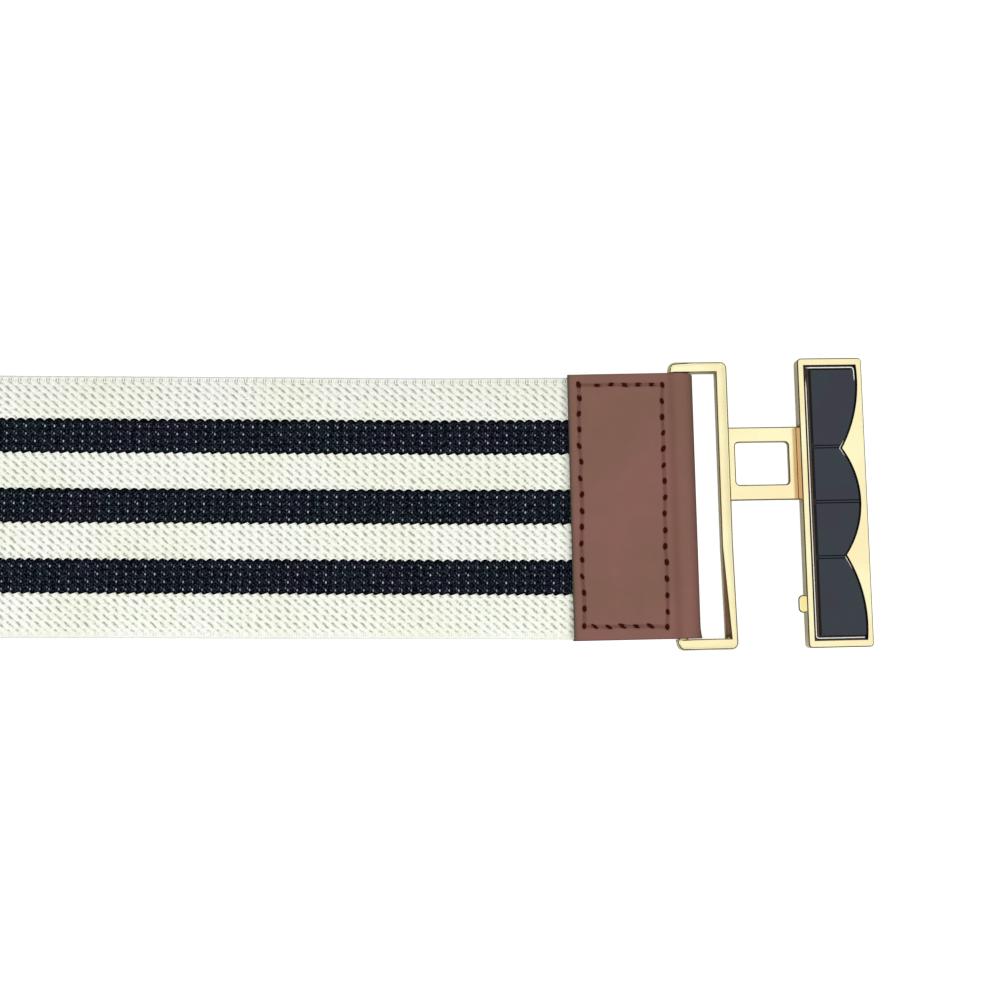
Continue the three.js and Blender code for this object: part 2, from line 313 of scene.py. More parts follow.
def cream_material():
    material, tree, shader, where = new_material("cream_elastic")
    along, across, from_stripe, from_middle = weave_count(tree, where)
    wander = times(tree, calc(tree, "SUBTRACT", noise(tree, where, 900, 2), 0.5), 0.30)
    twill = plus(tree, along, across, 0.5, wander)
    uneven = noise(tree, where, 1500, 2)
    blob = eased(tree, noise(tree, where, 1900, 1), 0.34, 0.62)
    width = plus(tree, 0.18, times(tree, uneven, 0.22))
    in_row = calc(tree, "SUBTRACT", calc(tree, "FRACT", across), 0.5)
    steep = plus(tree, twill, times(tree, in_row, -0.22))
    line = eased(tree, calc(tree, "DIVIDE", off_whole(tree, steep), width), 1.0, 0.05)
    row = off_whole(tree, plus(tree, across, times(tree, wander, 0.5)))
    dash = times(tree, line, plus(tree, 0.20, times(tree, eased(tree, row, 0.04, 0.24), 0.80)))
    in_body = eased(tree, from_middle, WEB_HALF_WIDTH - 1.3 * MM, WEB_HALF_WIDTH - 1.8 * MM)
    dash = times(tree, dash, in_body, plus(tree, 0.24, times(tree, blob, 0.58)))
    step = off_whole(tree, times(tree, along, 4.0))
    after_tick = calc(tree, "FRACT", plus(tree, along, 0.125))
    fade = plus(tree, 0.25, times(tree, eased(tree, after_tick, 0.56, 0.42), 0.75))
    fade = times(tree, fade, plus(tree, 0.35, times(tree, eased(tree, across, -2.0, 2.0), 0.65)))
    off_row = calc(tree, "ABSOLUTE", calc(tree, "SUBTRACT", from_middle, WEB_HALF_WIDTH - 1.05 * MM))
    tick = times(tree, eased(tree, step, 0.36, 0.06), eased(tree, off_row, 0.52 * MM, 0.18 * MM), fade)
    outside = eased(tree, from_middle, WEB_HALF_WIDTH - 0.55 * MM, WEB_HALF_WIDTH - 0.25 * MM)
    turn = off_whole(tree, plus(tree, times(tree, along, 6.0), times(tree, uneven, 2.0)))
    streak = times(tree, outside, eased(tree, turn, 0.16, 0.42))
    fleck = noise(tree, where, 3000, 2)
    cloud = noise(tree, where, 45, 3)
    shade = mixed(tree, eased(tree, cloud, 0.35, 0.65), colour(231, 234, 221), colour(234, 236, 231))
    under_stripe = eased(tree, calc(tree, "ABSOLUTE", from_stripe), 3.3 * MM, 3.1 * MM)
    shade = coat(
        tree, shade,
        # painted light: the band along each edge is painted near white to cancel the shade on the rounded
        # edge
        (times(tree, outside, 0.60), (251, 251, 247)),
        (times(tree, streak, 0.25), (160, 165, 158)),
        (times(tree, eased(tree, fleck, 0.46, 0.70), 0.36), (188, 192, 178)),
        (dash, (130, 133, 114)),
        (times(tree, tick, 0.70), (112, 116, 104)),
        (under_stripe, (18, 23, 32)),
    )
    tree.links.new(shade, shader.inputs["Base Color"])
    shader.inputs["Roughness"].default_value = 0.9
    shader.inputs["Specular IOR Level"].default_value = 0.12
    rib = calc(tree, "ABSOLUTE", calc(tree, "SINE", times(tree, twill, math.pi)))
    low = plus(tree, dash, times(tree, tick, 0.8))
    height = plus(tree, times(tree, rib, 0.8), times(tree, low, -1.0), times(tree, fleck, 0.3))
    add_bump(tree, shader, height, 0.10 * MM)
    return material


def navy_material():
    material, tree, shader, where = new_material("navy_elastic")
    along, across, from_stripe, _ = weave_count(tree, where)
    rows = calc(tree, "DIVIDE", calc(tree, "SUBTRACT", from_stripe, SPECK_ROW), CELL_WIDE)

    def specks(shift, size, patch, low, high):
        off_along = times(tree, off_whole(tree, plus(tree, along, shift)), CELL_LONG / MM)
        off_across = times(tree, off_whole(tree, plus(tree, rows, -shift)), CELL_WIDE / MM * 0.62)
        squares = plus(tree, times(tree, off_along, off_along), times(tree, off_across, off_across))
        spot = eased(tree, calc(tree, "SQRT", squares), size, size * 0.4)
        return times(tree, spot, plus(tree, 0.25, times(tree, eased(tree, patch, low, high), 0.70)))

    bright = specks(0.0, 0.21, noise(tree, where, 610, 1), 0.40, 0.70)
    faint = specks(0.25, 0.17, noise(tree, where, 540, 1), 0.46, 0.75)
    light = calc(tree, "MAXIMUM", bright, times(tree, faint, 0.5))
    cloud = noise(tree, where, 90, 2)
    hatch_up = calc(tree, "SINE", times(tree, plus(tree, along, across), 4 * math.pi))
    hatch_down = calc(tree, "SINE", times(tree, calc(tree, "SUBTRACT", along, across), 4 * math.pi))
    hatch = plus(tree, times(tree, calc(tree, "MAXIMUM", hatch_up, hatch_down), 0.5), 0.5)
    grain = noise(tree, where, 2600, 3)
    thread = times(tree, hatch, eased(tree, grain, 0.40, 0.70))
    # Towards the stripe's edges the yarn share falls to nothing and leaves the base black: painted shade
    # along the stripe's rounded edges.
    rim = eased(tree, calc(tree, "ABSOLUTE", from_stripe), STRIPE_HALF - 0.75 * MM, STRIPE_HALF - 0.3 * MM)
    thread = times(tree, thread, calc(tree, "SUBTRACT", 1.0, rim))
    yarn = mixed(tree, eased(tree, cloud, 0.40, 0.60), colour(43, 56, 64), colour(50, 51, 68))
    shade = mixed(tree, thread, colour(0, 2, 6), yarn)
    shade = mixed(tree, light, shade, colour(176, 186, 198))
    tree.links.new(shade, shader.inputs["Base Color"])
    shader.inputs["Roughness"].default_value = 0.85
    shader.inputs["Specular IOR Level"].default_value = 0.02
    add_bump(tree, shader, plus(tree, times(tree, hatch, 0.6), times(tree, grain, 0.5)), 0.08 * MM)
    return material


cream = cream_material()
navy = navy_material()
webbing.data.materials.append(cream)
for stripe in stripes:
    stripe.data.materials.append(navy)

# The selvedge
# Along both edges the cream weft yarn turns back round the last warp, four turns to each cell.
SELVEDGE_YARN = 0.22 * MM
SELVEDGE_TURNS_PER_CELL = 4


def thread_tree():
    """A short bent length of thread on every point, turned as its point says."""
    tree = bpy.data.node_groups.new("thread_turns", "GeometryNodeTree")
    tree.interface.new_socket("Points", in_out="INPUT", socket_type="NodeSocketGeometry")
    for name in ("Half length", "End depth", "Crown", "Thread radius"):
        tree.interface.new_socket(name, in_out="INPUT", socket_type="NodeSocketFloat")
    for name in ("Along", "Around"):
        tree.interface.new_socket(name, in_out="INPUT", socket_type="NodeSocketInt")
    tree.interface.new_socket("Finish", in_out="INPUT", socket_type="NodeSocketMaterial")
    tree.interface.new_socket("Threads", in_out="OUTPUT", socket_type="NodeSocketGeometry")
    given = tree.nodes.new("NodeGroupInput")
    result = tree.nodes.new("NodeGroupOutput")
    bend = tree.nodes.new("GeometryNodeCurveQuadraticBezier")
    tree.links.new(given.outputs["Along"], bend.inputs["Resolution"])

    def corner(along, up, socket):
        made = tree.nodes.new("ShaderNodeCombineXYZ")
        connect(tree, along, made.inputs["X"])
        tree.links.new(up, made.inputs["Z"])
        tree.links.new(made.outputs[0], bend.inputs[socket])

    def point_value(name, kind):
        made = tree.nodes.new("GeometryNodeInputNamedAttribute")
        made.data_type = kind
        made.inputs["Name"].default_value = name
        return made.outputs[0]

    below = times(tree, given.outputs["End depth"], -1.0)
    corner(times(tree, given.outputs["Half length"], -1.0), below, "Start")
    corner(0.0, given.outputs["Crown"], "Middle")
    corner(given.outputs["Half length"], below, "End")
    round_section = tree.nodes.new("GeometryNodeCurvePrimitiveCircle")
    tree.links.new(given.outputs["Around"], round_section.inputs["Resolution"])
    tree.links.new(given.outputs["Thread radius"], round_section.inputs["Radius"])
    tube = tree.nodes.new("GeometryNodeCurveToMesh")
    tree.links.new(bend.outputs[0], tube.inputs["Curve"])
    tree.links.new(round_section.outputs[0], tube.inputs["Profile Curve"])
    tube.inputs["Fill Caps"].default_value = True
    place = tree.nodes.new("GeometryNodeInstanceOnPoints")
    tree.links.new(given.outputs["Points"], place.inputs["Points"])
    tree.links.new(tube.outputs[0], place.inputs["Instance"])
    tree.links.new(point_value("turn", "FLOAT_VECTOR"), place.inputs["Rotation"])
    tree.links.new(point_value("size", "FLOAT"), place.inputs["Scale"])
    real = tree.nodes.new("GeometryNodeRealizeInstances")
    tree.links.new(place.outputs[0], real.inputs[0])
    finish = tree.nodes.new("GeometryNodeSetMaterial")
    tree.links.new(real.outputs[0], finish.inputs["Geometry"])
    tree.links.new(given.outputs["Finish"], finish.inputs["Material"])
    tree.links.new(finish.outputs[0], result.inputs[0])
    return tree


THREADS = thread_tree()


def settled(made):
    """Makes an object's modified shape its own plain mesh, and drops the modifiers."""
    result = made.evaluated_get(bpy.context.evaluated_depsgraph_get())
    mesh = bpy.data.meshes.new_from_object(result)
    made.modifiers.clear()
    made.data = mesh
    return mesh


def lay_threads(name, places, turns, sizes, finish, **settings):
    mesh = bpy.data.meshes.new(name)
    mesh.from_pydata([tuple(p) for p in places], [], [])
    turn = mesh.attributes.new("turn", "FLOAT_VECTOR", "POINT")
    turn.data.foreach_set("vector", np.asarray(turns, dtype=np.float32).reshape(-1))
    size = mesh.attributes.new("size", "FLOAT", "POINT")
    size.data.foreach_set("value", np.asarray(sizes, dtype=np.float32))
    made = bpy.data.objects.new(name, mesh)
    bpy.context.scene.collection.objects.link(made)
    modifier = made.modifiers.new("threads", "NODES")
    modifier.node_group = THREADS
    settings["Finish"] = finish
    for socket in THREADS.interface.items_tree:
        if socket.name in settings:
            modifier[socket.identifier] = settings[socket.name]
    laid = settled(made)
    laid.polygons.foreach_set("use_smooth", [True] * len(laid.polygons))
    return made


def make_selvedge():
    chance = np.random.default_rng(11)
    places, turns = [], []
    step = CELL_LONG / SELVEDGE_TURNS_PER_CELL
    for side in (1, -1):
        for x in np.arange(-TAB_INNER_X - 1 * MM, TAB_INNER_X + 1 * MM, step):
            y = side * (WEB_HALF_WIDTH - 0.52 * MM) + float(web_lean(x))
            places.append((x, y, WEB_THICKNESS / 2 + float(web_lift(x))))
            facing = Matrix(((0, side, 0), (0, 0, side), (1, 0, 0)))
            slant = Matrix.Rotation(chance.uniform(-0.25, 0.10), 3, "Y")
            turns.append(tuple((slant @ facing).to_euler()))
    sizes = chance.uniform(0.92, 1.06, len(places))
    return lay_threads(
        "webbing_selvedge", places, turns, sizes, cream,
        **{"Half length": 0.62 * MM, "End depth": 0.45 * MM, "Crown": 1.05 * MM,
           "Thread radius": SELVEDGE_YARN, "Along": 5, "Around": 4},
    )


selvedge = make_selvedge()
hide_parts("webbing", "webbing_end_right", "webbing_end_left")
for piece in (webbing, selvedge, *stripes):
    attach(piece, "belt")

# The leather end tabs
# One strip of smooth brown leather for each end, folded round the strap bar of the clasp half.
# Its two layers hold the end of the elastic under a rectangle of brown lockstitch.
LEATHER = 1.2 * MM
TAB_HALF_WIDTH = 28.6 * MM
TAB_INNER_GAP = 2.6 * MM
FOLD_INNER_RADIUS = 1.5 * MM
FOLD_CENTRE_X = 1.2 * MM
FOLD_END_X = -3.0 * MM
FOLD_VALLEY_X = -1.2 * MM
FOLD_VALLEY_DEPTH = 0.26 * MM
AXIS_HEIGHT = AXIS.z
SEAM_INNER_HIGH = (-20.95 * MM, 26.35 * MM)
SEAM_INNER_LOW = (-21.15 * MM, -25.45 * MM)
SEAM_OUTER_HIGH = (-2.85 * MM, 26.00 * MM)
SEAM_OUTER_LOW = (-3.50 * MM, -26.00 * MM)
STITCH_LONG = 3.49 * MM
STITCH_ACROSS = 2.97 * MM
FIRST_STITCH = {"inner": 2.8 * MM, "outer": 3.45 * MM, "high": 4.0 * MM, "low": 2.2 * MM}
HOLE_HALF = (0.43 * MM, 0.66 * MM)
HOLE_HALF_ACROSS = (0.74 * MM, 0.37 * MM)
HOLE_SLANT = (0.0, 0.1, 0.0, -0.35)
HOLE_DEPTH = 0.50 * MM
GROOVE_HALF = 0.40 * MM
GROOVE_DEPTH = 0.13 * MM
STITCH_THREAD = 0.18 * MM
TAB_STEP = 0.25 * MM
CUT_ROUND = 0.55 * MM
SIDE_ROUND = 0.30 * MM
CORNER_FLARE = 0.3 * MM
FLARE_FROM, FLARE_LENGTH = 25.6 * MM, 3.0 * MM
CORNER_DRAW = 0.32 * MM
DRAW_FROM, DRAW_LENGTH = 24.0 * MM, 4.6 * MM
FOLD_FRONT_FROM, FOLD_FRONT_LENGTH = 1.0 * MM, 2.9 * MM


def end_matrix(body):
    """From an end's own axes (x outwards, y across, z up, from below the strap bar) to the row's."""
    across = -Vector(JOINTS[body]["axis"]).normalized()
    up = Vector((0, 0, 1))
    outward = across.cross(up)
    place = Vector(JOINTS[body]["pos_m"])
    place.z = 0
    return Matrix.Translation(place) @ Matrix((outward, across, up)).transposed().to_4x4()


def seam_row(start, end, first, pitch, chance):
    """Needle places on one side of the seam, from corner to corner, a little uneven."""
    start, end = np.array(start), np.array(end)
    length = np.linalg.norm(end - start)
    ahead = (end - start) / length
    aside = np.array([-ahead[1], ahead[0]])
    places = [start]
    for far in np.arange(first, length - 0.6 * pitch, pitch):
        shift = chance.uniform(-1, 1, 2) * (0.10 * MM, 0.19 * MM)
        places.append(start + ahead * (far + shift[0]) + aside * shift[1])
    return [*places, end]


def seam_rows():
    """The seam's four sides: inner, outer, high and low."""
    chance = np.random.default_rng(5)
    return [
        seam_row(SEAM_INNER_HIGH, SEAM_INNER_LOW, FIRST_STITCH["inner"], STITCH_LONG, chance),
        seam_row(SEAM_OUTER_HIGH, SEAM_OUTER_LOW, FIRST_STITCH["outer"], STITCH_LONG, chance),
        seam_row(SEAM_INNER_HIGH, SEAM_OUTER_HIGH, FIRST_STITCH["high"], STITCH_ACROSS, chance),
        seam_row(SEAM_INNER_LOW, SEAM_OUTER_LOW, FIRST_STITCH["low"], STITCH_ACROSS, chance),
    ]


SEAM_ROWS = seam_rows()


def seam_distance(x, y):
    """How far each point of the tab is from the nearest stretch of thread."""
    nearest = np.full(x.shape, 1.0)
    for row in SEAM_ROWS:
        for (ax, ay), (bx, by) in zip(row, row[1:]):
            run = (bx - ax) ** 2 + (by - ay) ** 2
            t = np.clip(((x - ax) * (bx - ax) + (y - ay) * (by - ay)) / run, 0, 1)
            nearest = np.minimum(nearest, np.hypot(x - ax - t * (bx - ax), y - ay - t * (by - ay)))
    return nearest


def hole_share(x, y):
    """1 in the middle of a needle hole and 0 on the plain leather; the holes slant a little unevenly."""
    chance = np.random.default_rng(8)
    sizes = (HOLE_HALF, HOLE_HALF, HOLE_HALF_ACROSS, HOLE_HALF_ACROSS)
    share = np.zeros(x.shape)
    inner, outer, high, low = SEAM_ROWS
    rows = (inner, outer, high[1:-1], low[1:-1])
    for row, (half_x, half_y), slant in zip(rows, sizes, HOLE_SLANT):
        for hole_x, hole_y in row:
            lean = slant + chance.uniform(-0.30, 0.30)
            size = chance.uniform(0.88, 1.12)
            aside, ahead = x - hole_x, y - hole_y
            if half_y > half_x:
                aside = aside - lean * ahead
            else:
                ahead = ahead - lean * aside
            far = (aside / (half_x * size)) ** 2 + (ahead / (half_y * size)) ** 2
            share = np.maximum(share, np.exp(-(far ** 1.7)))
    return share


def leather_top(x):
    """Height of the tab's upper face: flat over the elastic, then a valley and the fold's ridge."""
    flat = 2 * LEATHER + TAB_INNER_GAP
    crown = AXIS_HEIGHT + FOLD_INNER_RADIUS + LEATHER
    t = np.clip((FOLD_CENTRE_X - x) / (FOLD_CENTRE_X - FOLD_END_X), 0, 1)
    ridge = crown + (flat - crown) * t * t * (3 - 2 * t)
    return ridge - FOLD_VALLEY_DEPTH * np.exp(-(((x - FOLD_VALLEY_X) / (0.95 * MM)) ** 2))


def strap_line():
    """The strip's path from its lower cut end round the fold to its upper one: outer and inner (x, z)."""
    rows = [((x, 0.0), (x, LEATHER)) for x in np.linspace(-TAB_REACH, FOLD_CENTRE_X, 12)[:-1]]
    for angle in np.linspace(-math.pi / 2, math.pi / 2, 19):
        along, up = math.cos(angle), math.sin(angle)
        out, ins = FOLD_INNER_RADIUS + LEATHER, FOLD_INNER_RADIUS
        rows.append((
            (FOLD_CENTRE_X + out * along, AXIS_HEIGHT + out * up),
            (FOLD_CENTRE_X + ins * along, AXIS_HEIGHT + ins * up),
        ))
    steps = int((FOLD_CENTRE_X + TAB_REACH) / TAB_STEP)
    lip = [-TAB_REACH + d * MM for d in (0.22, 0.10, 0.03, 0.0)]
    for x in [*np.linspace(FOLD_CENTRE_X, -TAB_REACH, steps)[1:-2], *lip]:
        top = float(leather_top(x))
        below = max(top - LEATHER, LEATHER + TAB_INNER_GAP)
        rows.append(((x, top), (x, below)))
    return np.array(rows)


def thick_sheet(name, front, back):
    """A closed body between two grids of points that face each other."""
    n, m = front.shape[:2]
    b = n * m
    faces = []
    for i in range(n - 1):
        a = i * m
        for j in range(m - 1):
            faces.append((a + j, a + m + j, a + m + j + 1, a + j + 1))
            faces.append((b + a + j, b + a + j + 1, b + a + m + j + 1, b + a + m + j))
        faces.append((a, b + a, b + a + m, a + m))
        faces.append((a + m - 1, a + 2 * m - 1, b + a + 2 * m - 1, b + a + m - 1))
    for i in (0, n - 1):
        a = i * m
        faces += [(a + j, a + j + 1, b + a + j + 1, b + a + j) for j in range(m - 1)]
    made = mesh_object(name, np.concatenate([front.reshape(-1, 3), back.reshape(-1, 3)]), faces)
    turn_faces_out(made.data)
    return made


def paint(mesh, **layers):
    """Stores values of a thick sheet's points for its material, the same on both faces."""
    for name, values in layers.items():
        layer = mesh.attributes.new(name, "FLOAT", "POINT")
        layer.data.foreach_set("value", np.concatenate([values.reshape(-1)] * 2).astype(np.float32))


def make_tab(side):
    line = strap_line()
    y = np.linspace(-TAB_HALF_WIDTH, TAB_HALF_WIDTH, int(2 * TAB_HALF_WIDTH / TAB_STEP))
    lip = np.array([0.03, 0.10, 0.20]) * MM
    y = np.unique(np.concatenate([y, -TAB_HALF_WIDTH + lip, TAB_HALF_WIDTH - lip]))
    grid = np.ones((len(line), len(y)))
    across = y[None, :] * grid
    outer_x, outer_z = line[:, 0, 0][:, None] * grid, line[:, 0, 1][:, None] * grid
    inner_x, inner_z = line[:, 1, 0][:, None] * grid, line[:, 1, 1][:, None] * grid
    top = outer_z > AXIS_HEIGHT + 0.5 * MM
    hole = hole_share(outer_x, across) * top
    off_seam = seam_distance(outer_x, across)
    groove = np.exp(-((off_seam / GROOVE_HALF) ** 4)) * top
    outer_z = outer_z - HOLE_DEPTH * hole - GROOVE_DEPTH * groove
    to_side = TAB_HALF_WIDTH - np.abs(across)
    to_cut = outer_x + TAB_REACH
    rounding = np.zeros(grid.shape)
    for distance, radius in ((to_side, SIDE_ROUND), (to_cut, CUT_ROUND)):
        near = 1 - np.clip(distance / radius, 0, 1)
        rounding = np.maximum(rounding, radius * (1 - np.sqrt(1 - near ** 2)))
    outer_z = outer_z - np.where(outer_z > AXIS_HEIGHT, 1, -1) * rounding
    flare = CORNER_FLARE * np.clip((-across - FLARE_FROM) / FLARE_LENGTH, 0, 1) ** 2
    beyond = np.clip((outer_x - FOLD_FRONT_FROM) / FOLD_FRONT_LENGTH, 0, 1)
    drawn = across - CORNER_DRAW * np.clip((across - DRAW_FROM) / DRAW_LENGTH, 0, 1) ** 2 * beyond
    outer_x = outer_x + flare * beyond
    inner_x = inner_x + flare * beyond
    outer = np.stack([outer_x, drawn, outer_z], axis=2)
    inner = np.stack([inner_x, drawn, inner_z], axis=2)
    made = thick_sheet(f"leather_cover_{side}", outer, inner)
    cut = np.exp(-((to_cut / (0.50 * MM)) ** 2)) * top
    brink = np.exp(-((to_side / (0.16 * MM)) ** 2))
    # The fold's far turn is painted dark as well: painted shade where it turns away from the light.
    brink = np.maximum(brink, np.clip((outer_x - 3.45 * MM) / (0.40 * MM), 0, 1))
    valley = np.exp(-(((outer_x - FOLD_VALLEY_X) / (0.7 * MM)) ** 2)) * top
    paint(
        made.data, needle_hole=hole, seam_groove=groove, cut_edge=cut, side_edge=brink, fold_valley=valley,
    )
    made.data.transform(end_matrix(f"buckle_{side}"))
    made.data.set_sharp_from_angle(angle=math.radians(60))
    return made


def painted(tree, name, kind="Fac"):
    """The values stored on the mesh under a name."""
    made = tree.nodes.new("ShaderNodeAttribute")
    made.attribute_name = name
    return made.outputs[kind]


def leather_material():
    material, tree, shader, where = new_material("brown_leather")
    cloud = noise(tree, where, 80, 3)
    mottle = noise(tree, where, 520, 3)
    pores = tree.nodes.new("ShaderNodeTexVoronoi")
    pores.feature = "SMOOTH_F1"
    pores.inputs["Scale"].default_value = 2300
    tree.links.new(where, pores.inputs["Vector"])
    shade = mixed(tree, eased(tree, cloud, 0.35, 0.65), colour(127, 89, 82), colour(120, 88, 76))
    shade = coat(
        tree, shade,
        (times(tree, mottle, 0.22), (104, 68, 61)),
        # painted shade in the valley before the fold's ridge
        (times(tree, painted(tree, "fold_valley"), 0.40), (104, 66, 55)),
        # painted shade in the seam's groove beside the thread
        (times(tree, painted(tree, "seam_groove"), 0.50), (84, 46, 38)),
        # painted shade: the needle holes are painted near black
        (eased(tree, painted(tree, "needle_hole"), 0.12, 0.45), (52, 6, 2)),
        (times(tree, painted(tree, "cut_edge"), 0.85), (80, 72, 60)),
        # darker edge colour along the sides, and painted shade on the fold's far turn
        (times(tree, painted(tree, "side_edge"), 0.80), (66, 42, 42)),
    )
    tree.links.new(shade, shader.inputs["Base Color"])
    shader.inputs["Roughness"].default_value = 0.6
    shader.inputs["Specular IOR Level"].default_value = 0.1
    height = plus(tree, times(tree, pores.outputs["Distance"], 0.6), mottle)
    add_bump(tree, shader, height, 0.025 * MM)
    return material


def thread_material():
    material, tree, shader, where = new_material("brown_thread")
    strand = noise(tree, where, 2600, 2)
    shade = mixed(tree, strand, colour(84, 48, 40), colour(128, 90, 78))
    tree.links.new(shade, shader.inputs["Base Color"])
    shader.inputs["Roughness"].default_value = 0.55
    shader.inputs["Specular IOR Level"].default_value = 0.3
    add_bump(tree, shader, strand, 0.05 * MM)
    return material


def make_stitches(side, finish):
    """The thread that shows between each needle hole and the next."""
    to_row = end_matrix(f"buckle_{side}")
    places, turns, sizes = [], [], []
    for row in SEAM_ROWS:
        for (ax, ay), (bx, by) in zip(row, row[1:]):
            middle_x, middle_y = (ax + bx) / 2, (ay + by) / 2
            height = float(leather_top(middle_x)) - 0.17 * MM
            places.append(to_row @ Vector((middle_x, middle_y, height)))
            heading = Matrix.Rotation(math.atan2(by - ay, bx - ax), 3, "Z")
            turns.append(tuple((to_row.to_3x3() @ heading).to_euler()))
            sizes.append(math.hypot(bx - ax, by - ay) / STITCH_LONG)
    return lay_threads(
        f"tab_stitches_{side}", places, turns, sizes, finish,
        **{"Half length": 1.14 * MM, "End depth": 0.46 * MM, "Crown": 0.48 * MM,
           "Thread radius": STITCH_THREAD, "Along": 10, "Around": 8},
    )


leather = leather_material()
sewing_thread = thread_material()
for side in ("right", "left"):
    tab = make_tab(side)
    tab.data.materials.append(leather)
    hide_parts(f"leather_tab_{side}")
    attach(tab, "belt")
    stitches = make_stitches(side, sewing_thread)
    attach(stitches, "belt")

# The clasp halves
# Each is one zinc casting with polished pale-gold plating: loop, windowed bridge, plate and lug.
# Its strap bar lies in the fold of the leather and swings there.
EDGE_FLAT = 0.22 * MM
EDGE_FLAT_RAISE = 0.07 * MM
LOOP_OUTER_RADIUS = 0.65 * MM
BAR_END_RADIUS = 1.1 * MM
STRAP_BAR_RADIUS = 1.2 * MM
LOOP_HALF_THICKNESS = 1.3 * MM
LOOP_INNER_HALF = 28.75 * MM
LOOP_RIGHT = 11.5 * MM
LOOP_INNER_RIGHT = 8.95 * MM
RAIL_BEND_START = -9.0 * MM
RAIL_BEND = 0.38 * MM
RAIL_FILED_WIDTH = 1.35 * MM
RAIL_FILED_DEPTH = 0.95 * MM
BRIDGE_LOW = 0.85 * MM
BRIDGE_HIGH = 16.75 * MM
BRIDGE_TOP = 0.1 * MM
BRIDGE_FOOT_RIGHT = 38.0 * MM
PLATE_LEFT = 26.35 * MM
PLATE_RIGHT = 40.4 * MM
PLATE_HALF = 31.15 * MM
PLATE_TOP = 3.4 * MM
LUG_DRAFT = 0.42 * MM
WELD = 0.002 * MM
SQUARE_EDGE = math.radians(60)
CREASED_EDGE = math.radians(28)
DROOP = (
    math.asin(AXIS_HEIGHT / math.hypot(BRIDGE_FOOT_RIGHT, LOOP_HALF_THICKNESS))
    - math.atan2(LOOP_HALF_THICKNESS, BRIDGE_FOOT_RIGHT)
)


def clasp_matrix(body):
    """From a clasp half's own axes, at the middle of its strap bar, to the row's."""
    lift = Matrix.Translation((0, 0, AXIS_HEIGHT))
    return end_matrix(body) @ lift @ Matrix.Rotation(DROOP, 4, "Y")


def has_flat(edge):
    """True for the outward edges that are finished with a narrow flat, False for round and sharp ones."""
    place = (edge.verts[0].co + edge.verts[1].co) / 2
    if abs(edge.verts[0].co.z - edge.verts[1].co.z) > 0.05 * MM:
        return False
    if place.x > PLATE_LEFT - 0.05 * MM:
        on_side = min(abs(place.x - PLATE_LEFT), abs(place.x - PLATE_RIGHT)) < 0.9 * MM
        on_outline = on_side or abs(place.y) > PLATE_HALF - 0.9 * MM
        return on_outline and place.z > PLATE_TOP - 0.1 * MM
    if place.x > LOOP_RIGHT + 0.1 * MM:
        return True
    inside_loop = abs(place.y) < LOOP_INNER_HALF + 0.1 * MM and place.x < LOOP_INNER_RIGHT + 0.1 * MM
    return inside_loop and abs(place.z) > STRAP_BAR_RADIUS


def round_radius(place):
    """How far an outward edge is rounded at a place, or 0 where it is sharp or already has a flat."""
    if place.x < 0.15 * MM and abs(place.y) > LOOP_INNER_HALF + 0.2 * MM:
        return BAR_END_RADIUS
    outside = abs(place.y) > LOOP_INNER_HALF + 1.0 * MM or place.x > LOOP_RIGHT - 0.3 * MM
    return LOOP_OUTER_RADIUS if outside and place.x < LOOP_RIGHT + 0.1 * MM else 0.0


def shape_by_hand(place):
    """Bows the loop's far rail out towards its low end, files it wider there, and drafts the lug."""
    down = min(max((RAIL_BEND_START - place.y) / (LOOP_INNER_HALF + RAIL_BEND_START), 0), 1)
    if LOOP_INNER_RIGHT - 0.05 * MM < place.x < LOOP_INNER_RIGHT + 1.0 * MM:
        if place.z > LOOP_HALF_THICKNESS - 0.05 * MM:
            place.x += RAIL_FILED_WIDTH * down
        else:
            if place.z > 0.5 * MM:
                place.z -= RAIL_FILED_DEPTH * down
            place.x += RAIL_BEND * down
    elif LOOP_INNER_RIGHT < place.x < LOOP_RIGHT + 0.05 * MM:
        place.x += RAIL_BEND * down
    on_lug = 20 * MM < place.x < PLATE_LEFT - 0.05 * MM and place.y < -15 * MM
    if on_lug and place.z < -0.9 * MM:
        place.x += LUG_DRAFT


